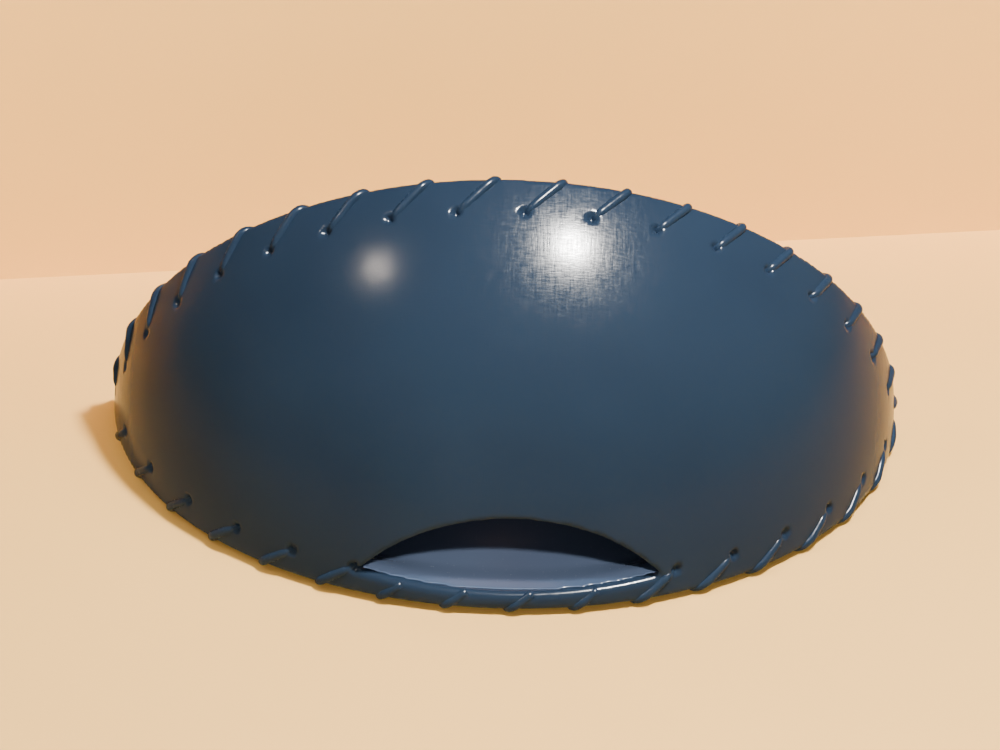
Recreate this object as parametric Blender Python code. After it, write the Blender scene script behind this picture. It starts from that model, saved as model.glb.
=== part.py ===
"""Stitched wedge vessel: a hollow pottery pod the shape of an orange segment.

A curved front shell, bounded by two half circles, closes onto a flat base panel
and a flat back panel that meet along one straight rear edge. Short coils of clay
lace the shell to both panels, and a low arched mouth opens through the shell.
Units are metres. The vessel stands on its foot at z = 0, its mouth faces -Y, and
the origin lies on the floor inside the foot's outline.
"""
import math

import bmesh
import bpy
from mathutils import Vector

# Overall form
OUTER_RADIUS = 0.150        # the shell's outside, and half the vessel's width
WEDGE_ANGLE = math.radians(61.6)   # between the base and the back
SHELL_WALL = 0.006
PANEL_THICKNESS = 0.006
SEAM_GAP = 0.0003           # between one piece and the next
EDGE_ROUND = 0.003          # on the shell's two outer edges

# Foot under the base panel
FLOOR_CLEARANCE = 0.0006    # under the stitches
FOOT_INSET = 0.024          # in from the shell's outside
FOOT_SETBACK = 0.018        # forward of the rear edge
ORIGIN_TO_REAR_EDGE = 0.0675

# Mouth in the shell, seen from straight in front
MOUTH_CENTRE_X = 0.002
MOUTH_HALF_WIDTH = 0.0535
MOUTH_TOP_HEIGHT = 0.035    # above the base plane
MOUTH_LIP_RISE = 0.0010     # the lip's lowest place, over the base panel
MOUTH_CORNER_RISE = 0.0027  # the corners, over the lip's lowest place

# Stitches
STITCH_DIAMETER = 0.0034
STITCH_CLEARANCE = 0.0003
STITCH_PROUD_AT_HOLE = 0.0008   # how far the bedded coil stands out of the shell
STITCH_PROUD_AT_EDGE = 0.0019
STITCH_PROUD_ON_PANEL = 0.0011
STITCH_END_MARGIN = 0.0006  # the coil stops short of the shell's inner face
PANEL_REACH = 0.0155        # from the edge to the hole in a panel
PANEL_SKIN = 0.0015         # left over the blind holes in the panels
PANEL_GATHER = 0.94         # panel holes are drawn in toward the middle
END_CROWDING = 0.40         # part of the wedge a hole may use near the ends
END_ROOM = 3.410            # the last hole's reach, in radii of its bed
LAST_HOLE = math.radians(83.43)   # the angle of that hole in the pattern
UPPER_COUNT = 19
UPPER_PITCH = math.radians(9.17)
UPPER_MIDDLE = math.radians(7.0)
UPPER_DRIFT = math.radians(-0.05)   # the pitch closes up toward the right
UPPER_REACH = 0.0137        # from the edge to the hole in the shell
UPPER_LEAN_MIN = math.radians(1.8)
UPPER_LEAN_SWELL = math.radians(3.2)
LOWER_COUNT = 17
LOWER_PITCH = math.radians(8.9)
LOWER_MIDDLE = math.radians(0.5)
LOWER_SPREAD = math.radians(0.0129)  # the pitch opens toward both ends
LOWER_REACH = 0.0099
LOWER_LEAN = math.radians(5.2)

# Fineness of the faceted solids
STEPS_ALONG = 36
STEPS_ROUND_OUTSIDE = 10
STEPS_ROUND_INSIDE = 6
STITCH_SIDES = 6
BEND_STEPS = 2
RUN_SPLITS = 3              # of a stitch's straight run over the shell
ARCH_STEPS = 24
LIP_STEPS = 12
SHARP_ANGLE = math.radians(35.0)

# The shell thins out toward its ends
EDGE_SHARE = 0.35           # the most of the half wedge that an edge round may take
SEAT_SHARE = 0.45           # the most of the wedge that one panel's seat may take
BEVEL_MIDDLE = 1.0 - math.cos(math.radians(45.0))   # of an edge round, at its middle
MOUTH_CUT_SHARE = 0.5       # of the outside radius, where the mouth's cut ends

# Glaze, as linear colours
SHELL_BLUE = (0.040, 0.095, 0.165)
PANEL_BLUE = (0.040, 0.092, 0.158)
STITCH_BLUE = (0.034, 0.095, 0.170)

# The foot lifts the stitches under the base clear of the table
FOOT_HEIGHT = STITCH_PROUD_ON_PANEL + FLOOR_CLEARANCE

# The mouth sits on the base panel
MOUTH_LIP_HEIGHT = PANEL_THICKNESS + MOUTH_LIP_RISE
MOUTH_CORNER_HEIGHT = MOUTH_LIP_HEIGHT + MOUTH_CORNER_RISE

X_AXIS = Vector((1.0, 0.0, 0.0))


class Seam:
    """One laced edge: the plane of a panel's outer face.

    A place on it is x along the rear edge, m away from that edge in the plane,
    and d from the plane into the vessel.
    """

    def __init__(self, angle, inward):
        self.away = Vector((0.0, -math.cos(angle), math.sin(angle)))
        self.inward = Vector(inward)

    def point(self, x, m, d):
        rear_edge = Vector((0.0, ORIGIN_TO_REAR_EDGE, FOOT_HEIGHT))
        return rear_edge + X_AXIS * x + self.away * m + self.inward * d

    def on_shell(self, angle, d, height):
        """The place at an angle along the edge, with a height over the shell."""
        radius = OUTER_RADIUS + height
        flat = math.sqrt(radius ** 2 - max(d, 0.0) ** 2)
        return self.point(flat * math.sin(angle), flat * math.cos(angle), d)


BASE_SEAM = Seam(0.0, (0.0, 0.0, 1.0))
BACK_SEAM = Seam(WEDGE_ANGLE, (0.0, -math.sin(WEDGE_ANGLE), -math.cos(WEDGE_ANGLE)))


# ---------------------------------------------------------------- helpers

def clear_scene():
    for old in list(bpy.data.objects):
        bpy.data.objects.remove(old, do_unlink=True)


def make_material(name, colour, roughness, coat):
    material = bpy.data.materials.new(name)
    material.use_nodes = True
    shader = material.node_tree.nodes["Principled BSDF"]
    shader.inputs["Base Color"].default_value = (*colour, 1.0)
    shader.inputs["Roughness"].default_value = roughness
    shader.inputs["Metallic"].default_value = 0.0
    shader.inputs["Coat Weight"].default_value = coat
    material.diffuse_color = (*colour, 1.0)
    return material


def finish_mesh(name, bm, material):
    """Turn the faces outward, store the mesh and shade its round parts smooth."""
    bmesh.ops.recalc_face_normals(bm, faces=bm.faces[:])
    mesh = bpy.data.meshes.new(name)
    bm.to_mesh(mesh)
    bm.free()
    mesh.shade_smooth()
    mesh.set_sharp_from_angle(angle=SHARP_ANGLE)
    if material is not None:
        mesh.materials.append(material)
    part = bpy.data.objects.new(name, mesh)
    bpy.context.scene.collection.objects.link(part)
    return part


def face_from(bm, corners):
    """Make a face, leaving out corners that fall on one another at a pole."""
    unique = []
    for corner in corners:
        if corner not in unique:
            unique.append(corner)
    if len(unique) > 2:
        bm.faces.new(unique)


def join_rings(bm, first, second):
    count = len(first)
    for i in range(count):
        j = (i + 1) % count
        face_from(bm, (first[i], first[j], second[j], second[i]))


def subtract(part, cutters, name):
    """Cut a set of closed shapes out of a part, and leave it as a plain mesh."""
    collection = bpy.data.collections.new(name)
    for cutter in cutters:
        cutter.hide_render = True
        cutter.display_type = 'WIRE'
        collection.objects.link(cutter)
    cut = part.modifiers.new(name, 'BOOLEAN')
    cut.operation = 'DIFFERENCE'
    cut.solver = 'EXACT'
    cut.operand_type = 'COLLECTION'
    cut.collection = collection


# ---------------------------------------------------------------- stitches

def bed_radius():
    """The flats of a many-sided bar lie inside its corners, so a bed is wider."""
    room = 0.5 * STITCH_DIAMETER + STITCH_CLEARANCE
    return room / math.cos(math.pi / STITCH_SIDES)


def pattern_scale():
    """Draws the stitches in where the tips would leave the last holes too little room."""
    room = OUTER_RADIUS * math.tan(END_CROWDING * WEDGE_ANGLE)
    return min(math.acos(END_ROOM * bed_radius() / room) / LAST_HOLE, 1.0)


def upper_places():
    """Edge and hole angles of each upper stitch, left to right."""
    half = UPPER_COUNT // 2
    scale = pattern_scale()
    for k in range(-half, half + 1):
        crossing = scale * (UPPER_MIDDLE + UPPER_PITCH * k + UPPER_DRIFT * k * k)
        lean = UPPER_LEAN_MIN + UPPER_LEAN_SWELL * math.cos(crossing)
        yield crossing, crossing - lean


def lower_places():
    """Edge and hole angles of each lower stitch, left to right."""
    half = LOWER_COUNT // 2
    scale = pattern_scale()
    for k in range(-half, half + 1):
        crossing = scale * (LOWER_MIDDLE + LOWER_PITCH * k + LOWER_SPREAD * k ** 3)
        yield crossing, crossing + LOWER_LEAN


def mouth_spans(angle):
    """Whether a hole at this angle would fall in the mouth."""
    across = OUTER_RADIUS * math.sin(angle) - MOUTH_CENTRE_X
    return abs(across) < MOUTH_HALF_WIDTH


def bend(corner, before, after, radius):
    """Points of a rounded corner in the stitch's own plane of depth and height."""
    corner = Vector(corner)
    way_in = (corner - Vector(before)).normalized()
    way_out = (Vector(after) - corner).normalized()
    start = corner - way_in * radius
    centre = start + way_out * radius
    points = []
    for step in range(BEND_STEPS + 1):
        turn = 0.5 * math.pi * step / BEND_STEPS
        points.append(centre - way_out * radius * math.cos(turn) + way_in * radius * math.sin(turn))
    return points


def stitch_edge():
    """Depth and height of the coil's middle where it turns over the edge."""
    radius = 0.5 * STITCH_DIAMETER
    return radius - STITCH_PROUD_ON_PANEL, STITCH_PROUD_AT_EDGE - radius


def stitch_profile(reach, start_depth, end_depth, opens_in_mouth):
    """The route as depth in from the edge plane, and height over the shell."""
    tight = bed_radius() + STITCH_CLEARANCE
    round_edge = EDGE_ROUND + STITCH_CLEARANCE
    hole_height = STITCH_PROUD_AT_HOLE - 0.5 * STITCH_DIAMETER
    edge = stitch_edge()
    first = (reach, -start_depth)
    over_hole = (reach, hole_height)
    over_panel = (edge[0], -PANEL_REACH)
    last = (end_depth, -PANEL_REACH)
    if opens_in_mouth:
        points = [Vector((start_depth, hole_height))]
    else:
        points = [Vector(first)] + bend(over_hole, first, edge, tight)
    corner_at = len(points)
    points += bend(edge, over_hole, over_panel, round_edge)
    points += bend(over_panel, edge, last, tight) + [Vector(last)]
    return points, corner_at


def stitch_route(seam, crossing, hole, reach, start_depth, end_depth, opens_in_mouth):
    """World points along one stitch, from its start in the shell to its panel hole."""
    profile, corner_at = stitch_profile(reach, start_depth, end_depth, opens_in_mouth)
    dense = densify(profile, corner_at)
    edge_depth, edge_height = stitch_edge()
    panel_angle = crossing * PANEL_GATHER
    across = 0.0
    down = 0.0
    route = []
    for place, past_corner in dense:
        depth, height = place
        across = max(across, (reach - depth) / (reach - edge_depth))
        if past_corner:
            down = max(down, (edge_height - height) / (edge_height + PANEL_REACH))
        angle = hole + (crossing - hole) * across + (panel_angle - crossing) * down
        route.append(seam.on_shell(angle, depth, height))
    return route


def densify(profile, corner_at):
    """Split the long run over the shell so that it follows the curve."""
    dense = []
    for i, place in enumerate(profile):
        if i == corner_at:
            before = profile[i - 1]
            for split in range(1, RUN_SPLITS):
                dense.append((before.lerp(place, split / RUN_SPLITS), False))
        dense.append((place, i >= corner_at))
    return dense


def tube(name, route, radius, material):
    """A round bar along a route, with flat ends."""
    bm = bmesh.new()
    normal = None
    previous = None
    last = len(route) - 1
    for i, place in enumerate(route):
        ahead = route[min(i + 1, last)] - route[max(i - 1, 0)]
        direction = ahead.normalized()
        if normal is None:
            normal = direction.orthogonal().normalized()
        normal = (normal - direction * normal.dot(direction)).normalized()
        side = direction.cross(normal)
        ring = []
        for k in range(STITCH_SIDES):
            turn = 2.0 * math.pi * k / STITCH_SIDES
            offset = normal * math.cos(turn) + side * math.sin(turn)
            ring.append(bm.verts.new(place + offset * radius))
        if previous is not None:
            join_rings(bm, previous, ring)
        else:
            bm.faces.new(ring)
        previous = ring
    bm.faces.new(previous)
    return finish_mesh(name, bm, material)


def make_stitch(prefix, number, seam, crossing, hole, reach, material):
    """One coil of clay, and the wider bar that cuts its bed and its holes."""
    in_mouth = prefix == "lower_stitch" and mouth_spans(hole)
    crowd = OUTER_RADIUS * math.cos(hole) * math.tan(END_CROWDING * WEDGE_ANGLE)
    reach = min(reach, crowd)
    if in_mouth:
        start = MOUTH_LIP_HEIGHT - STITCH_CLEARANCE
        cut_start = MOUTH_CORNER_HEIGHT + STITCH_CLEARANCE
    else:
        start = SHELL_WALL - STITCH_END_MARGIN
        cut_start = SHELL_WALL + STITCH_DIAMETER
    name = f"{prefix}_{number:02d}"
    cut_end = PANEL_THICKNESS - PANEL_SKIN
    end = cut_end - STITCH_CLEARANCE
    radius = 0.5 * STITCH_DIAMETER
    route = stitch_route(seam, crossing, hole, reach, start, end, in_mouth)
    tube(name, route, radius, material)
    bed_route = stitch_route(seam, crossing, hole, reach, cut_start, cut_end, in_mouth)
    return tube(name + "_bed", bed_route, bed_radius(), None)


# ---------------------------------------------------------------- shell

def shell_profile(along):
    """Places round the shell's section at one angle along its length.

    Each is the spherical radius, the angle round the rear edge, and whether it
    lies on the outside.
    """
    squeeze = math.cos(along)
    room = OUTER_RADIUS * squeeze
    edge = min(EDGE_ROUND, EDGE_SHARE * room * math.sin(0.5 * WEDGE_ANGLE))
    steps = ((1.0, 0.0), (BEVEL_MIDDLE, BEVEL_MIDDLE), (0.0, 1.0))
    lower = []
    for depth, drop in steps:
        radius = OUTER_RADIUS - edge * drop
        lower.append((radius, math.asin(edge * depth / (radius * squeeze))))
    start = lower[0][1]
    span = WEDGE_ANGLE - 2.0 * start
    outside = []
    for k in range(1, STEPS_ROUND_OUTSIDE):
        outside.append((OUTER_RADIUS, start + span * k / STEPS_ROUND_OUTSIDE, True))
    inner_radius = OUTER_RADIUS - SHELL_WALL
    panel_share = min(PANEL_THICKNESS / (inner_radius * squeeze), 1.0)
    seat = min(math.asin(panel_share), SEAT_SHARE * WEDGE_ANGLE)
    turns = [0.0]
    for k in range(STEPS_ROUND_INSIDE + 1):
        turns.append(seat + (WEDGE_ANGLE - 2.0 * seat) * k / STEPS_ROUND_INSIDE)
    turns.append(WEDGE_ANGLE)
    inside = [(inner_radius, turn, False) for turn in reversed(turns)]
    first_edge = [(radius, turn, True) for radius, turn in reversed(lower)]
    second_edge = [(radius, WEDGE_ANGLE - turn, True) for radius, turn in lower]
    return first_edge + outside + second_edge + inside


def shell_point(radius, along, turn):
    m = radius * math.cos(along)
    x = radius * math.sin(along)
    return BASE_SEAM.point(x, m * math.cos(turn), m * math.sin(turn))


def make_front_shell(material):
    """A segment of a hollow ball between the base plane and the back plane."""
    bm = bmesh.new()
    rings = []
    middle = shell_profile(0.0)
    inner_radius = OUTER_RADIUS - SHELL_WALL
    for j in range(STEPS_ALONG + 1):
        along = math.pi * (j / STEPS_ALONG - 0.5)
        if j in (0, STEPS_ALONG):
            tip = bm.verts.new(shell_point(OUTER_RADIUS, along, 0.0))
            inner_tip = bm.verts.new(shell_point(inner_radius, along, 0.0))
            rings.append([tip if outer else inner_tip for _, _, outer in middle])
        else:
            places = shell_profile(along)
            rings.append([bm.verts.new(shell_point(r, along, turn)) for r, turn, _ in places])
    for first, second in zip(rings, rings[1:]):
        join_rings(bm, first, second)
    return finish_mesh("front_shell", bm, material)


def arc_between(left, right, rise, steps):
    """Points of a circular arc from left to right that rises by this much."""
    chord = right - left
    half = 0.5 * chord.length
    radius = (half ** 2 + rise ** 2) / (2.0 * abs(rise))
    sign = math.copysign(1.0, rise)
    middle = 0.5 * (left + right)
    up = Vector((-chord.y, chord.x)).normalized() * sign
    sweep = math.atan2(half, radius - abs(rise))
    centre = middle - up * (radius - abs(rise))
    points = []
    for k in range(steps + 1):
        turn = sweep * (2.0 * k / steps - 1.0)
        points.append(centre + up * radius * math.cos(turn) + chord.normalized() * radius * math.sin(turn))
    return points


def make_mouth_cutter():
    """A bar with the mouth's outline, running through the front of the shell."""
    left = Vector((MOUTH_CENTRE_X - MOUTH_HALF_WIDTH, MOUTH_CORNER_HEIGHT))
    right = Vector((MOUTH_CENTRE_X + MOUTH_HALF_WIDTH, MOUTH_CORNER_HEIGHT))
    arch = arc_between(left, right, MOUTH_TOP_HEIGHT - MOUTH_CORNER_HEIGHT, ARCH_STEPS)
    lip = arc_between(left, right, -MOUTH_CORNER_RISE, LIP_STEPS)
    outline = arch + lip[-2:0:-1]
    bm = bmesh.new()
    reach_out = OUTER_RADIUS + SHELL_WALL
    reach_in = MOUTH_CUT_SHARE * OUTER_RADIUS
    near = [bm.verts.new(BASE_SEAM.point(p.x, reach_out, p.y)) for p in outline]
    far = [bm.verts.new(BASE_SEAM.point(p.x, reach_in, p.y)) for p in outline]
    join_rings(bm, near, far)
    bm.faces.new(near)
    bm.faces.new(far)
    return finish_mesh("mouth_cutter", bm, None)


# ---------------------------------------------------------------- panels

def half_disc(bm, seam, radius, setback, depth):
    """A ring of corners round a half disc that stops short of the rear edge."""
    end = math.acos(setback / radius)
    ring = []
    for k in range(STEPS_ALONG + 1):
        angle = end * (2.0 * k / STEPS_ALONG - 1.0)
        place = seam.point(radius * math.sin(angle), radius * math.cos(angle), depth)
        ring.append(bm.verts.new(place))
    return ring


def panel_rim():
    """The panels slip inside the shell, clear of its flats at their deepest face."""
    flats = math.cos(0.5 * math.pi / STEPS_ALONG)
    room = (OUTER_RADIUS - SHELL_WALL) * flats - SEAM_GAP
    return math.sqrt(room ** 2 - PANEL_THICKNESS ** 2)


def mitre_setback(depth):
    """Where a panel stops so that it meets its neighbour on the mitre."""
    half_angle = 0.5 * WEDGE_ANGLE
    return depth / math.tan(half_angle) + 0.5 * SEAM_GAP / math.sin(half_angle)


def make_panel(name, seam, foot, material):
    """A flat half-round panel, mitred along the rear edge, with or without the foot."""
    bm = bmesh.new()
    rim = panel_rim()
    top = half_disc(bm, seam, rim, mitre_setback(PANEL_THICKNESS), PANEL_THICKNESS)
    face = half_disc(bm, seam, rim, mitre_setback(0.0), 0.0)
    bm.faces.new(top)
    join_rings(bm, top, face)
    last = face
    if foot:
        foot_radius = OUTER_RADIUS - FOOT_INSET
        for depth in (0.0, -FOOT_HEIGHT):
            ring = half_disc(bm, seam, foot_radius, FOOT_SETBACK, depth)
            join_rings(bm, last, ring)
            last = ring
    bm.faces.new(last)
    return finish_mesh(name, bm, material)


# ---------------------------------------------------------------- assembly

def build():
    clear_scene()
    shell_glaze = make_material("blue_glaze_shell", SHELL_BLUE, 0.34, 0.35)
    panel_glaze = make_material("blue_glaze_panels", PANEL_BLUE, 0.38, 0.30)
    stitch_glaze = make_material("blue_glaze_stitches", STITCH_BLUE, 0.22, 0.50)

    shell = make_front_shell(shell_glaze)
    base = make_panel("base_panel", BASE_SEAM, True, panel_glaze)
    back = make_panel("back_panel", BACK_SEAM, False, panel_glaze)

    upper_beds = []
    for number, (crossing, hole) in enumerate(upper_places(), start=1):
        bed = make_stitch("upper_stitch", number, BACK_SEAM, crossing, hole, UPPER_REACH, stitch_glaze)
        upper_beds.append(bed)
    lower_beds = []
    for number, (crossing, hole) in enumerate(lower_places(), start=1):
        bed = make_stitch("lower_stitch", number, BASE_SEAM, crossing, hole, LOWER_REACH, stitch_glaze)
        lower_beds.append(bed)

    subtract(shell, [make_mouth_cutter()], "mouth")
    subtract(shell, upper_beds + lower_beds, "stitch_beds")
    subtract(base, lower_beds, "base_stitch_beds")
    subtract(back, upper_beds, "back_stitch_beds")


build()
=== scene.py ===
"""A stitched pottery vessel in blue glaze, lying on its flat base on cream paper."""

import math

import bmesh
import bpy
from mathutils import Matrix, Vector


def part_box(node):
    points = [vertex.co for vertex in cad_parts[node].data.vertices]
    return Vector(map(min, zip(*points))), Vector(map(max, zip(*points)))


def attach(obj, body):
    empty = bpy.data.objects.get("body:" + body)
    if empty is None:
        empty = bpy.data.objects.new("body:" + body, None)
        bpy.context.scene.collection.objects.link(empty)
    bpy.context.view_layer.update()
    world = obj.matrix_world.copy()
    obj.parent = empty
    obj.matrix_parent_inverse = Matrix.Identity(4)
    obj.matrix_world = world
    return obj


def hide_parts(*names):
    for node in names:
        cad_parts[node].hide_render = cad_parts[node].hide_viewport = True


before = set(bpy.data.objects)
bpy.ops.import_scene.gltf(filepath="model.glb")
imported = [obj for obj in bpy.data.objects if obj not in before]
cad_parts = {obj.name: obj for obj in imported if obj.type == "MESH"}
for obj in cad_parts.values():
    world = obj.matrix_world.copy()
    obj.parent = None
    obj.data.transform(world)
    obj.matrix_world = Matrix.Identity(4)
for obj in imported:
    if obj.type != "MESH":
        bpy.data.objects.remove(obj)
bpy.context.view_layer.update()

# ---------------------------------------------------------------- sizes, in metres
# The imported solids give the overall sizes; the rest repeats the design's own values.
shell_low, shell_high = (Vector(corner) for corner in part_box("front_shell"))
base_low = Vector(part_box("base_panel")[0])
OUTER_RADIUS = 0.5 * (shell_high.x - shell_low.x)
FOOT_HEIGHT = shell_low.z - base_low.z
REAR_EDGE_Y = shell_low.y + OUTER_RADIUS
WEDGE_ANGLE = math.radians(61.6)    # between the base and the back
WALL = 0.006            # of the shell and of both panels
EDGE_ROUND = 0.003      # on the shell's two outer edges
FOOT_INSET = 0.024
FOOT_SETBACK = 0.018
SEAM_GAP = 0.0003
DISH_DEPTH = 0.0022     # of the base panel's inside

# Mouth, seen from straight in front
MOUTH_CENTRE_X = 0.002
MOUTH_HALF_WIDTH = 0.0535
MOUTH_CORNER_HEIGHT = 0.0097
MOUTH_TOP_HEIGHT = 0.035
MOUTH_LIP_HEIGHT = 0.0070
MOUTH_ROUND = 0.0014    # on the arch's edges
LIP_ROUND = 0.0026      # on the lip's edges
RIM_BURIED = 0.0034     # how far the base runs into the shell's wall
FRONT_SHARE = 0.6       # of the radius: the mouth lies further forward than this

# Coils
COIL_RADIUS = 0.0017
PROUD_AT_HOLE = 0.0008  # how far a coil stands out of the shell
PROUD_AT_EDGE = 0.0019
PROUD_ON_PANEL = 0.0011
STUB_SINK = 0.0008      # the coils under the mouth slope out of the lip
BED_CLEARANCE = 0.0003
END_MARGIN = 0.0006     # a coil stops short of the shell's inner face
PANEL_SKIN = 0.0015     # left over the blind holes in the panels
PANEL_REACH = 0.0155    # from the edge to the hole in a panel
PANEL_GATHER = 0.94     # panel holes are drawn in toward the middle
END_CROWDING = 0.40     # part of the wedge a hole may use near the ends
PIT_RADIUS = 0.0021
PIT_OFFSET = 0.0012     # along the edge, away from the coil
PIT_BEYOND = 0.0010     # past the coil's turn
PIT_SINK = 0.0006

# Fineness
SHELL_VOXEL = 0.00125
PANEL_VOXEL = 0.0015
ARCH_STEPS = 64
LIP_STEPS = 48
ROUTE_STEP = 0.0012

# Paper standing behind the vessel
WALL_PAPER_HEIGHT = 0.145
WALL_PAPER_WIDTH = 0.80
WALL_PAPER_Y = 0.200
WALL_PAPER_TURN = math.radians(9.3)

REAR_EDGE = Vector((0.0, REAR_EDGE_Y, FOOT_HEIGHT + base_low.z))


def seam_directions(angle):
    """The way from the rear edge to the laced edge, and the way into the vessel."""
    away = Vector((0.0, -math.cos(angle), math.sin(angle)))
    inward = Vector((0.0, -math.sin(angle), -math.cos(angle)))
    return away, inward if angle > 0.0 else -inward


BASE = seam_directions(0.0)
BACK = seam_directions(WEDGE_ANGLE)


def on_seam(seam, x, m, d):
    away, inward = seam
    return REAR_EDGE + Vector((x, 0.0, 0.0)) + away * m + inward * d


def over_shell(seam, angle, d, height):
    radius = OUTER_RADIUS + height
    flat = math.sqrt(radius ** 2 - max(d, 0.0) ** 2)
    return on_seam(seam, flat * math.sin(angle), flat * math.cos(angle), d)


# ---------------------------------------------------------------- material helpers

GLAZE_IOR = 1.11        # low, so that the paper shows in the glaze only toward its rims
GLOSS_SWING = 0.07      # how far the strokes take the roughness up and down

def linear(hex_colour):
    """An sRGB hex value as a linear colour."""
    channels = []
    for k in (0, 2, 4):
        value = int(hex_colour[k:k + 2], 16) / 255.0
        channels.append(value / 12.92 if value <= 0.04045 else ((value + 0.055) / 1.055) ** 2.4)
    return (*channels, 1.0)


def new_material(name):
    material = bpy.data.materials.new(name)
    material.use_nodes = True
    return material, material.node_tree, material.node_tree.nodes["Principled BSDF"]


def add(tree, kind, settings=None, **links):
    """Add a node, set its properties and sockets, and link what is given as a socket."""
    node = tree.nodes.new(kind)
    for key, value in (settings or {}).items():
        setattr(node, key, value)
    for key, value in links.items():
        numbered = key[0] == "i" and key[1:].isdigit()
        socket = node.inputs[int(key[1:]) if numbered else key.replace("_", " ")]
        if isinstance(value, bpy.types.NodeSocket):
            tree.links.new(value, socket)
        else:
            socket.default_value = value
    return node


def brushed_glaze(name, body_hex, deep_hex, roughness, stroke_depth):
    """Stoneware under a brushed satin glaze.

    Crossed brush strokes about 0.8 mm apart break up the highlight, broad pooling
    shifts the blue a little, and small pits and specks keep the gloss uneven.
    """
    material, tree, shader = new_material(name)
    place = add(tree, "ShaderNodeTexCoord").outputs["Object"]
    across = add(tree, "ShaderNodeMapping", Vector=place,
                 Scale=(260.0, 1500.0, 1500.0), Rotation=(0.0, 0.05, 0.04))
    down = add(tree, "ShaderNodeMapping", Vector=place,
               Scale=(1300.0, 170.0, 170.0), Rotation=(0.35, 0.0, -0.12))
    strokes_a = add(tree, "ShaderNodeTexNoise", Vector=across.outputs[0],
                    Scale=1.0, Detail=3.0, Roughness=0.6)
    strokes_b = add(tree, "ShaderNodeTexNoise", Vector=down.outputs[0],
                    Scale=1.0, Detail=3.0, Roughness=0.6)
    patches = add(tree, "ShaderNodeTexNoise", Vector=place, Scale=14.0, Detail=2.0, Roughness=0.5)
    pits = add(tree, "ShaderNodeTexNoise", Vector=place, Scale=900.0, Detail=2.0, Roughness=0.5)
    crossed = add(tree, "ShaderNodeMath", {"operation": "ADD"},
                  i0=strokes_a.outputs["Fac"], i1=strokes_b.outputs["Fac"])
    pitted = add(tree, "ShaderNodeMath", {"operation": "MULTIPLY_ADD"},
                 i0=pits.outputs["Fac"], i1=0.35, i2=crossed.outputs[0])
    bump = add(tree, "ShaderNodeBump", Strength=1.0, Distance=stroke_depth, Height=pitted.outputs[0])
    tone = add(tree, "ShaderNodeMapRange", Value=patches.outputs["Fac"], From_Min=0.35, From_Max=0.65)
    colour = add(tree, "ShaderNodeMix", {"data_type": "RGBA"}, i0=tone.outputs[0])
    colour.inputs[6].default_value = linear(body_hex)
    colour.inputs[7].default_value = linear(deep_hex)
    gloss = add(tree, "ShaderNodeMapRange", Value=crossed.outputs[0], From_Min=0.7, From_Max=1.3)
    gloss.inputs["To Min"].default_value = roughness - GLOSS_SWING
    gloss.inputs["To Max"].default_value = roughness + GLOSS_SWING
    tree.links.new(colour.outputs[2], shader.inputs["Base Color"])
    tree.links.new(gloss.outputs[0], shader.inputs["Roughness"])
    tree.links.new(bump.outputs[0], shader.inputs["Normal"])
    shader.inputs["IOR"].default_value = GLAZE_IOR
    return material


def cream_paper(name, hex_colour):
    """Uncoated cream drawing paper: matt, with a faint cloudy tone and fine tooth."""
    material, tree, shader = new_material(name)
    place = add(tree, "ShaderNodeTexCoord").outputs["Object"]
    clouds = add(tree, "ShaderNodeTexNoise", Vector=place, Scale=5.0, Detail=3.0)
    tone = add(tree, "ShaderNodeMapRange", Value=clouds.outputs["Fac"], From_Min=0.3, From_Max=0.7)
    colour = add(tree, "ShaderNodeMix", {"data_type": "RGBA"}, i0=tone.outputs[0])
    base = linear(hex_colour)
    colour.inputs[6].default_value = base
    colour.inputs[7].default_value = (base[0] * 0.985, base[1] * 0.975, base[2] * 0.96, 1.0)
    tooth = add(tree, "ShaderNodeTexNoise", Vector=place, Scale=700.0, Detail=2.0)
    bump = add(tree, "ShaderNodeBump", Strength=0.15, Distance=0.0002, Height=tooth.outputs["Fac"])
    tree.links.new(colour.outputs[2], shader.inputs["Base Color"])
    tree.links.new(bump.outputs[0], shader.inputs["Normal"])
    shader.inputs["Roughness"].default_value = 0.85
    shader.inputs["Specular IOR Level"].default_value = 0.1
    return material


# ---------------------------------------------------------------- mesh helpers

def object_from(name, bm, smooth=True):
    mesh = bpy.data.meshes.new(name)
    bm.to_mesh(mesh)
    bm.free()
    if smooth:
        mesh.shade_smooth()
    piece = bpy.data.objects.new(name, mesh)
    bpy.context.scene.collection.objects.link(piece)
    return piece


def weld(bm):
    bmesh.ops.remove_doubles(bm, verts=bm.verts[:], dist=1e-6)
    bmesh.ops.dissolve_degenerate(bm, edges=bm.edges[:], dist=1e-7)
    bmesh.ops.recalc_face_normals(bm, faces=bm.faces[:])


def remesh_cut(piece, cutters, voxel):
    """Cut shapes out of a piece, then give it even facets and softened edges."""
    group = bpy.data.collections.new(piece.name + "_cuts")
    for cutter in cutters:
        group.objects.link(cutter)
    if cutters:
        cut = piece.modifiers.new("cuts", "BOOLEAN")
        cut.operand_type = "COLLECTION"
        cut.collection = group
        cut.solver = "EXACT"
    even = piece.modifiers.new("even", "REMESH")
    even.mode = "VOXEL"
    even.voxel_size = voxel
    view = bpy.context.evaluated_depsgraph_get()
    mesh = bpy.data.meshes.new_from_object(piece.evaluated_get(view))
    piece.modifiers.clear()
    old = piece.data
    piece.data = mesh
    bpy.data.meshes.remove(old)


def drop(objects):
    for old in objects:
        bpy.data.objects.remove(old, do_unlink=True)


def smooth_step(low, high, value):
    share = min(max((value - low) / (high - low), 0.0), 1.0)
    return share * share * (3.0 - 2.0 * share)


# ---------------------------------------------------------------- coils

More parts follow.
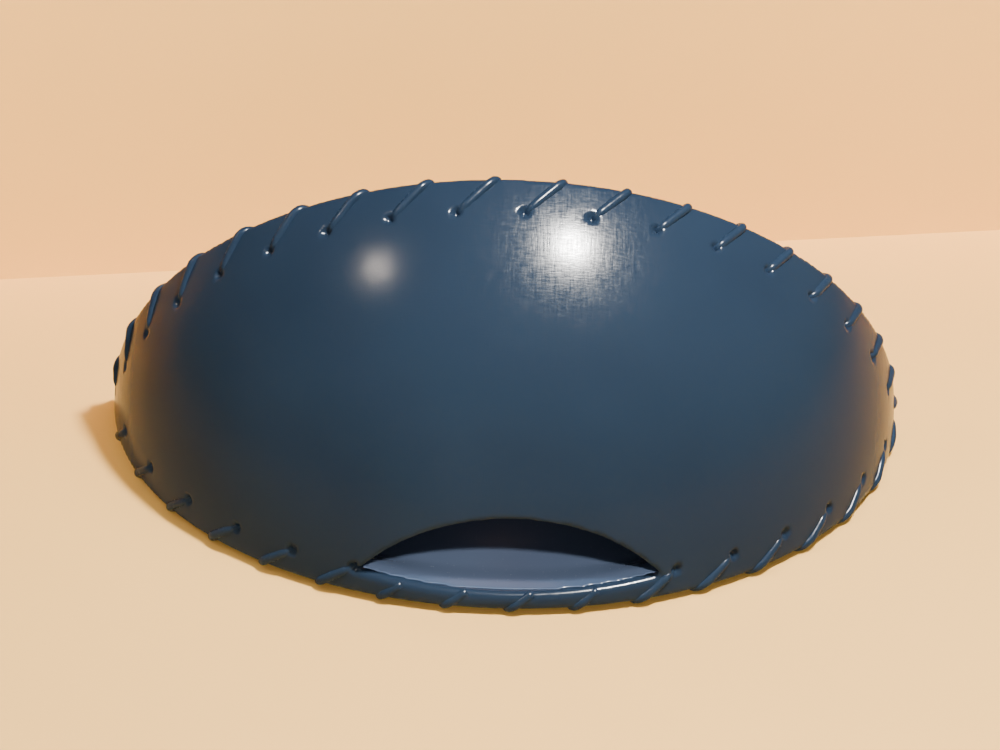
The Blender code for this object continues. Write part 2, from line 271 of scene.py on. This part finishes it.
def coil_places():
    """Name, seam, angle at the edge, angle of the hole, and reach of each coil."""
    for k in range(-9, 10):
        crossing = math.radians(7.0 + 9.17 * k - 0.05 * k * k)
        lean = math.radians(1.8 + 3.2 * math.cos(crossing))
        yield f"upper_stitch_{k + 10:02d}", BACK, crossing, crossing - lean, 0.0137
    for k in range(-8, 9):
        crossing = math.radians(0.5 + 8.9 * k + 0.0129 * k ** 3)
        yield f"lower_stitch_{k + 9:02d}", BASE, crossing, crossing + math.radians(5.2), 0.0099


def rounded(points, radii, steps):
    """A path through 2D points with each inner corner turned on an arc."""
    path = [points[0]]
    for before, corner, after, radius in zip(points, points[1:], points[2:], radii):
        way_in = (corner - before).normalized()
        way_out = (after - corner).normalized()
        centre = corner - way_in * radius + way_out * radius
        for step in range(steps + 1):
            turn = 0.5 * math.pi * step / steps
            path.append(centre - way_out * radius * math.cos(turn) + way_in * radius * math.sin(turn))
    path.append(points[-1])
    return path


def coil_route(seam, crossing, hole, reach, start, end, in_mouth):
    """World points along a coil, from the shell over the edge to its panel hole."""
    tight = COIL_RADIUS / math.cos(math.pi / 6.0) + 2.0 * BED_CLEARANCE
    hole_height = PROUD_AT_HOLE - COIL_RADIUS
    edge = Vector((COIL_RADIUS - PROUD_ON_PANEL, PROUD_AT_EDGE - COIL_RADIUS))
    over_panel = Vector((edge.x, -PANEL_REACH))
    last = Vector((end, -PANEL_REACH))
    if in_mouth:
        corners = [Vector((start, hole_height - STUB_SINK)), edge, over_panel, last]
        radii = [EDGE_ROUND + BED_CLEARANCE, tight]
    else:
        corners = [Vector((reach, -start)), Vector((reach, hole_height)), edge, over_panel, last]
        radii = [tight, EDGE_ROUND + BED_CLEARANCE, tight]
    path = rounded(corners, radii, 6)
    fine = []
    for a, b in zip(path, path[1:]):
        pieces = max(1, math.ceil((b - a).length / ROUTE_STEP))
        fine += [a.lerp(b, k / pieces) for k in range(pieces)]
    fine.append(path[-1])
    route = []
    across = 0.0
    down = 0.0
    past_edge = False
    for depth, height in fine:
        past_edge = past_edge or depth < EDGE_ROUND
        across = max(across, (reach - depth) / (reach - edge.x))
        if past_edge:
            down = max(down, (edge.y - height) / (edge.y + PANEL_REACH))
        angle = hole + (crossing - hole) * across + (crossing * PANEL_GATHER - crossing) * down
        route.append(over_shell(seam, angle, depth, height))
    return route


def bar_along(name, route, radius, sides, wobble=0.0):
    """A round bar: one disc, pushed and turned along the route."""
    bm = bmesh.new()
    heading = (route[1] - route[0]).normalized()
    turn = Vector((0.0, 0.0, 1.0)).rotation_difference(heading).to_matrix().to_4x4()
    disc = bmesh.ops.create_circle(bm, cap_ends=True, segments=sides, radius=radius,
                                   matrix=Matrix.Translation(route[0]) @ turn)
    face = disc["verts"][0].link_faces[0]
    last = len(route) - 1
    size = 1.0
    for i in range(1, len(route)):
        ahead = (route[min(i + 1, last)] - route[i - 1]).normalized()
        pushed = bmesh.ops.extrude_face_region(bm, geom=[face])
        if i > 1:
            bmesh.ops.delete(bm, geom=[face], context="FACES_ONLY")
        verts = [item for item in pushed["geom"] if isinstance(item, bmesh.types.BMVert)]
        face = [item for item in pushed["geom"] if isinstance(item, bmesh.types.BMFace)][0]
        bmesh.ops.translate(bm, verts=verts, vec=route[i] - route[i - 1])
        swing = heading.rotation_difference(ahead).to_matrix()
        bmesh.ops.rotate(bm, verts=verts, cent=route[i], matrix=swing)
        new_size = 1.0 + wobble * math.sin(1.9 * i + 3.0 * route[0].x / radius)
        grow = new_size / size
        bmesh.ops.scale(bm, verts=verts, vec=(grow, grow, grow), space=Matrix.Translation(-route[i]))
        size = new_size
        heading = ahead
    bmesh.ops.recalc_face_normals(bm, faces=bm.faces[:])
    return object_from(name, bm)


def make_coils(material):
    """Every stitch, and the cutters for the pits of their holes."""
    pits = []
    for name, seam, crossing, hole, reach in coil_places():
        reach = min(reach, OUTER_RADIUS * math.cos(hole) * math.tan(END_CROWDING * WEDGE_ANGLE))
        at_mouth = abs(OUTER_RADIUS * math.sin(hole) - MOUTH_CENTRE_X) < MOUTH_HALF_WIDTH
        in_mouth = name.startswith("lower") and at_mouth
        start = MOUTH_LIP_HEIGHT - BED_CLEARANCE if in_mouth else WALL - END_MARGIN
        end = WALL - PANEL_SKIN - BED_CLEARANCE
        route = coil_route(seam, crossing, hole, reach, start, end, in_mouth)
        coil = bar_along("coil_" + name, route, COIL_RADIUS, 16, 0.025)
        coil.data.materials.append(material)
        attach(coil, "root")
        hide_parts(name)
        if not in_mouth:
            pits.append(pit_cutter(name, seam, crossing, hole, reach))
    return pits


def pit_cutter(name, seam, crossing, hole, reach):
    """A ball that opens the far side of a hole, where the coil turns down into it."""
    back = math.copysign(1.0, hole - crossing) * PIT_OFFSET / OUTER_RADIUS
    centre = over_shell(seam, hole + back, reach + PIT_BEYOND, -PIT_SINK)
    bm = bmesh.new()
    bmesh.ops.create_icosphere(bm, subdivisions=3, radius=PIT_RADIUS, matrix=Matrix.Translation(centre))
    return object_from(name + "_pit", bm)


# ---------------------------------------------------------------- shell

def shell_section(v, along):
    """Radius and turn at a share v of the way round the shell's closed section."""
    squeeze = max(math.cos(along), 1e-6)
    edge = min(EDGE_ROUND, 0.35 * OUTER_RADIUS * squeeze * math.sin(0.5 * WEDGE_ANGLE))
    first = math.asin(min(edge / (OUTER_RADIUS * squeeze), 1.0)) if squeeze > 1e-5 else 0.0
    inner = OUTER_RADIUS - WALL
    if v <= 0.5:
        return OUTER_RADIUS, first + (WEDGE_ANGLE - 2.0 * first) * v / 0.5
    if v <= 0.55:
        turn = 0.5 * math.pi * (v - 0.5) / 0.05
        radius = OUTER_RADIUS - edge * (1.0 - math.cos(turn))
        return radius, WEDGE_ANGLE - first * (1.0 - math.sin(turn))
    if v <= 0.6:
        share = (v - 0.55) / 0.05
        return (OUTER_RADIUS - edge) * (1.0 - share) + inner * share, WEDGE_ANGLE
    if v <= 0.9:
        return inner, WEDGE_ANGLE * (0.9 - v) / 0.3
    if v <= 0.95:
        share = (v - 0.9) / 0.05
        return inner * (1.0 - share) + (OUTER_RADIUS - edge) * share, 0.0
    turn = 0.5 * math.pi * (1.0 - v) / 0.05
    return OUTER_RADIUS - edge * (1.0 - math.cos(turn)), first * (1.0 - math.sin(turn))


def arc_between(left, right, rise, steps):
    chord = right - left
    half = 0.5 * chord.length
    radius = (half ** 2 + rise ** 2) / (2.0 * abs(rise))
    up = Vector((-chord.y, chord.x)).normalized() * math.copysign(1.0, rise)
    sweep = math.atan2(half, radius - abs(rise))
    centre = 0.5 * (left + right) - up * (radius - abs(rise))
    points = []
    for k in range(steps + 1):
        turn = sweep * (2.0 * k / steps - 1.0)
        points.append(centre + up * radius * math.cos(turn) + chord.normalized() * radius * math.sin(turn))
    return points


def mouth_cutter():
    left = Vector((MOUTH_CENTRE_X - MOUTH_HALF_WIDTH, MOUTH_CORNER_HEIGHT))
    right = Vector((MOUTH_CENTRE_X + MOUTH_HALF_WIDTH, MOUTH_CORNER_HEIGHT))
    arch = arc_between(left, right, MOUTH_TOP_HEIGHT - MOUTH_CORNER_HEIGHT, ARCH_STEPS)
    lip = arc_between(left, right, MOUTH_LIP_HEIGHT - MOUTH_CORNER_HEIGHT, LIP_STEPS)
    bm = bmesh.new()
    reach_out = OUTER_RADIUS + WALL
    outline = [bm.verts.new(on_seam(BASE, p.x, reach_out, p.y)) for p in arch + lip[-2:0:-1]]
    front = bm.faces.new(outline)
    pushed = bmesh.ops.extrude_face_region(bm, geom=[front])
    verts = [item for item in pushed["geom"] if isinstance(item, bmesh.types.BMVert)]
    bmesh.ops.translate(bm, verts=verts, vec=Vector((0.0, 0.5 * OUTER_RADIUS, 0.0)))
    bmesh.ops.recalc_face_normals(bm, faces=bm.faces[:])
    return object_from("mouth_cutter", bm)


def even_out(piece, rounds):
    """Take the small steps out of the cut edges."""
    bm = bmesh.new()
    bm.from_mesh(piece.data)
    for _ in range(rounds):
        bmesh.ops.smooth_vert(bm, verts=bm.verts[:], factor=0.5,
                              use_axis_x=True, use_axis_y=True, use_axis_z=True)
    bm.to_mesh(piece.data)
    bm.free()


def arc_centre(rise):
    """Centre height and radius of a mouth arc that leaves the corners by this rise."""
    radius = (MOUTH_HALF_WIDTH ** 2 + rise ** 2) / (2.0 * abs(rise))
    return MOUTH_CORNER_HEIGHT + rise - math.copysign(radius, rise), radius


MOUTH_ARCS = [arc_centre(MOUTH_TOP_HEIGHT - MOUTH_CORNER_HEIGHT),
              arc_centre(MOUTH_LIP_HEIGHT - MOUTH_CORNER_HEIGHT)]


def inside_mouth(arm):
    """How far inside the mouth a place lies, the way further in, and the edge's round."""
    choices = []
    for (centre, radius), edge in zip(MOUTH_ARCS, (MOUTH_ROUND, LIP_ROUND)):
        out = Vector((arm.x - MOUTH_CENTRE_X, 0.0, arm.z - centre))
        choices.append((radius - out.length, -out.normalized(), edge))
    return min(choices, key=lambda choice: choice[0])


def true_up(mesh):
    """Put the corners back on the two balls, and round the mouth's edges evenly."""
    surfaces = ((OUTER_RADIUS, 1.0), (OUTER_RADIUS - WALL, -1.0))
    for vert in mesh.vertices:
        arm = vert.co - REAR_EDGE
        in_front = -arm.y > FRONT_SHARE * OUTER_RADIUS
        depth, further, edge = inside_mouth(arm)
        b = depth + edge if in_front else -1.0
        moved = False
        for surface, side in surfaces:
            over = side * (arm.length - surface)
            a = over + edge
            if a > 0.0 and b > 0.0:
                reach = math.hypot(a, b)
                keep = smooth_step(0.5 * edge, edge, abs(reach - edge))
                change = (edge / reach - 1.0) * (1.0 - keep)
                vert.co += arm.normalized() * side * a * change + further * b * change
                moved = True
        if moved:
            continue
        if b > 0.0:
            vert.co -= further * depth * (1.0 - smooth_step(0.0006, 0.0010, abs(depth)))
            continue
        for surface, side in surfaces:
            miss = arm.length - surface
            keep = smooth_step(0.0003, 0.0008, abs(miss))
            if keep < 1.0:
                vert.co = REAR_EDGE + arm * ((surface + miss * keep) / arm.length)


def make_shell(pits, material):
    """The curved wall, cut for the mouth and the coils' holes, with glaze-soft edges."""
    bm = bmesh.new()
    bmesh.ops.create_grid(bm, x_segments=180, y_segments=120, size=1.0)
    for vert in bm.verts:
        along = 0.5 * math.pi * vert.co.x
        radius, turn = shell_section(0.5 * (vert.co.y + 1.0), along)
        m = radius * math.cos(along)
        vert.co = on_seam(BASE, radius * math.sin(along), m * math.cos(turn), m * math.sin(turn))
    weld(bm)
    shell = object_from("glazed_shell", bm)
    mouth = mouth_cutter()
    remesh_cut(shell, [mouth] + pits, SHELL_VOXEL)
    drop([mouth])
    even_out(shell, 2)
    true_up(shell.data)
    shell.data.shade_smooth()
    shell.data.materials.clear()
    shell.data.materials.append(material)
    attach(shell, "root")
    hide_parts("front_shell")


# ---------------------------------------------------------------- panels

def half_disc_ring(bm, seam, radius, setback, depth, steps):
    end = math.acos(setback / radius)
    ring = []
    for k in range(steps + 1):
        angle = end * (2.0 * k / steps - 1.0)
        ring.append(bm.verts.new(on_seam(seam, radius * math.sin(angle), radius * math.cos(angle), depth)))
    return ring


def lip_rise(across):
    """Height of the lip over the base panel's inner face, falling away past the corners."""
    centre, radius = MOUTH_ARCS[1]
    held = min(abs(across), MOUTH_HALF_WIDTH)
    rise = centre - math.sqrt(radius ** 2 - held ** 2) - WALL
    return rise * (1.0 - smooth_step(MOUTH_HALF_WIDTH, MOUTH_HALF_WIDTH + 0.008, abs(across)))


def make_panel(name, node, seam, foot, material):
    """A half-round slab, mitred along the rear edge; the base has a foot and a dish."""
    bm = bmesh.new()
    rim = math.sqrt((OUTER_RADIUS - WALL - SEAM_GAP) ** 2 - WALL ** 2)
    inner_rim = rim + (RIM_BURIED if foot else 0.0)
    half_angle = 0.5 * WEDGE_ANGLE
    gap = 0.5 * SEAM_GAP / math.sin(half_angle)
    levels = [(inner_rim, WALL / math.tan(half_angle) + gap, WALL), (rim, gap, 0.0)]
    if foot:
        levels += [(OUTER_RADIUS - FOOT_INSET, FOOT_SETBACK, 0.0)]
        levels += [(OUTER_RADIUS - FOOT_INSET, FOOT_SETBACK, -FOOT_HEIGHT)]
    rings = [half_disc_ring(bm, seam, radius, setback, depth, 120) for radius, setback, depth in levels]
    bm.faces.new(rings[0])
    bm.faces.new(rings[-1])
    for first, second in zip(rings, rings[1:]):
        count = len(first)
        for i in range(count):
            bm.faces.new((first[i], first[(i + 1) % count], second[(i + 1) % count], second[i]))
    weld(bm)
    panel = object_from(name, bm)
    remesh_cut(panel, [], PANEL_VOXEL)
    even_out(panel, 2)
    away, inward = seam
    for vert in panel.data.vertices:
        arm = vert.co - REAR_EDGE
        d = arm.dot(inward)
        for level in (0.0, WALL, -FOOT_HEIGHT if foot else 0.0):
            miss = d - level
            keep = smooth_step(0.0003, 0.0008, abs(miss))
            vert.co -= inward * miss * (1.0 - keep)
            d -= miss * (1.0 - keep)
        if foot and d > 0.5 * WALL:
            flat = math.hypot(arm.x, arm.dot(away))
            share = smooth_step(rim, 0.75 * rim, flat) * smooth_step(0.012, 0.04, arm.dot(away))
            near_lip = smooth_step(rim - 0.016, rim - 0.0005, flat)
            lift = lip_rise(arm.x - MOUTH_CENTRE_X) * near_lip - DISH_DEPTH * share
            lift += 0.00005
            vert.co += inward * lift * smooth_step(0.5 * WALL, WALL, d)
    panel.data.shade_smooth()
    panel.data.materials.clear()
    panel.data.materials.append(material)
    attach(panel, "root")
    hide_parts(node)


# ---------------------------------------------------------------- stage, lights and camera

def look_axes(azimuth, elevation):
    forward = Vector((math.sin(azimuth) * math.cos(elevation),
                      math.cos(azimuth) * math.cos(elevation),
                      -math.sin(elevation)))
    right = Vector((math.cos(azimuth), -math.sin(azimuth), 0.0))
    return forward, right, right.cross(forward)


def make_camera():
    """A long lens, looking down on the vessel from the front with a slight roll."""
    forward, right, up = look_axes(math.radians(0.65), math.radians(28.6))
    roll = math.radians(-1.68)
    side = right * math.cos(roll) - up * math.sin(roll)
    top = right * math.sin(roll) + up * math.cos(roll)
    distance = 9.0 * OUTER_RADIUS
    aim = REAR_EDGE + Vector((0.0, -0.35, 0.30)) * OUTER_RADIUS - side * 0.00265 - top * 0.0029
    data = bpy.data.cameras.new("camera")
    data.sensor_width = 36.0
    data.lens = 36.0 * 3.663
    camera = bpy.data.objects.new("camera", data)
    turn = Matrix((side, top, -forward)).transposed().to_4x4()
    camera.matrix_world = Matrix.Translation(aim - forward * distance) @ turn
    bpy.context.scene.collection.objects.link(camera)
    bpy.context.scene.camera = camera


def make_stage():
    """Paper on the table, and paper standing behind it."""
    paper = cream_paper("cream_drawing_paper", "F6C26A")
    bm = bmesh.new()
    bmesh.ops.create_grid(bm, x_segments=2, y_segments=2, size=3.0)
    floor = object_from("floor", bm, smooth=False)
    floor.data.materials.append(paper)
    bm = bmesh.new()
    turn = Matrix.Rotation(WALL_PAPER_TURN, 4, "Z")
    upright = Matrix.Translation((0.0, WALL_PAPER_Y, 0.5 * WALL_PAPER_HEIGHT)) @ turn
    upright @= Matrix.Rotation(math.radians(90.0), 4, "X")
    sheet = Matrix.Diagonal((0.5 * WALL_PAPER_WIDTH, 0.5 * WALL_PAPER_HEIGHT, 1.0, 1.0))
    bmesh.ops.create_grid(bm, x_segments=2, y_segments=2, size=1.0, matrix=upright @ sheet)
    wall = object_from("backdrop", bm, smooth=False)
    wall.data.materials.append(paper)


def area_light(name, direction, distance, size, watts, colour):
    data = bpy.data.lights.new(name, "AREA")
    data.shape = "DISK"
    data.size = size
    data.energy = watts
    data.color = colour
    light = bpy.data.objects.new(name, data)
    aim = Vector((0.0, 0.0, 0.05))
    direction = Vector(direction).normalized()
    light.location = aim + direction * distance
    light.rotation_euler = direction.to_track_quat("Z", "Y").to_euler()
    bpy.context.scene.collection.objects.link(light)
    return light


def keep_to(piece_name, *lights):
    """Let lights fall on one piece alone."""
    group = bpy.data.collections.new(piece_name + "_light")
    group.objects.link(bpy.data.objects[piece_name])
    for light in lights:
        light.light_linking.receiver_collection = group


def point_light(name, place, size, watts, colour):
    data = bpy.data.lights.new(name, "POINT")
    data.shadow_soft_size = size
    data.energy = watts
    data.color = colour
    light = bpy.data.objects.new(name, data)
    light.location = place
    bpy.context.scene.collection.objects.link(light)


def make_lights():
    """Two small warm lamps above the front, and soft fills for paper, mouth and cavity."""
    area_light("key", (0.30, -0.25, 0.92), 1.1, 0.13, 30.0, (1.0, 0.93, 0.82))
    # These two show only in the gloss, where they draw the compact highlights.
    key_gloss = area_light("key_gloss", (0.275, -0.22, 0.935), 1.1, 0.085, 400.0, (1.0, 0.97, 0.92))
    second_gloss = area_light("second_gloss", (-0.575, -0.22, 0.788), 1.3, 0.10, 17.0, (1.0, 0.86, 0.70))
    for light in (key_gloss, second_gloss):
        light.visible_diffuse = False
    area_light("second_lamp", (-0.57, -0.26, 0.78), 1.3, 0.13, 3.2, (1.0, 0.86, 0.70))
    # The arch's shadow falls across the base a third of the way in.
    mouth_lamp = area_light("mouth_lamp", (0.12, -0.74, 0.66), 1.1, 0.06, 100.0, (1.0, 0.68, 0.52))
    mouth_fill = area_light("mouth_fill", (0.0, -0.90, 0.42), 1.2, 0.8, 13.0, (1.0, 0.70, 0.54))
    floor_fill = area_light("floor_fill", (0.0, -0.965, 0.26), 1.4, 0.9, 9.0, (1.0, 0.90, 0.74))
    keep_to("floor", floor_fill)
    wall_wash = area_light("wall_wash", (0.02, -0.50, 0.86), 0.60, 0.2, 3.0, (1.0, 0.90, 0.72))
    keep_to("backdrop", wall_wash)
    area_light("low_front_fill", (0.0, -0.98, 0.20), 1.5, 1.0, 3.0, (0.86, 0.92, 1.0))
    keep_to("glazed_base", mouth_lamp, mouth_fill)
    in_cavity = REAR_EDGE + Vector((0.0, -0.060, 0.060))
    point_light("cavity_fill", in_cavity, 0.02, 0.075, (1.0, 0.55, 0.42))
    world = bpy.data.worlds.new("soft_room")
    world.use_nodes = True
    background = world.node_tree.nodes["Background"]
    background.inputs["Color"].default_value = (1.0, 0.93, 0.82, 1.0)
    background.inputs["Strength"].default_value = 0.42
    bpy.context.scene.world = world


make_camera()
make_stage()
shell_glaze = brushed_glaze("brushed_satin_glaze_on_stoneware", "213045", "1E2C40", 0.20, 0.00002)
panel_glaze = brushed_glaze("poured_satin_glaze_on_slab", "223146", "1F2D41", 0.21, 0.00001)
coil_glaze = brushed_glaze("glossy_glaze_on_clay_coil", "213147", "1E2D42", 0.24, 0.00001)
pits = make_coils(coil_glaze)
make_shell(pits, shell_glaze)
make_panel("glazed_base", "base_panel", BASE, True, panel_glaze)
make_panel("glazed_back", "back_panel", BACK, False, panel_glaze)
drop(pits)
make_lights()
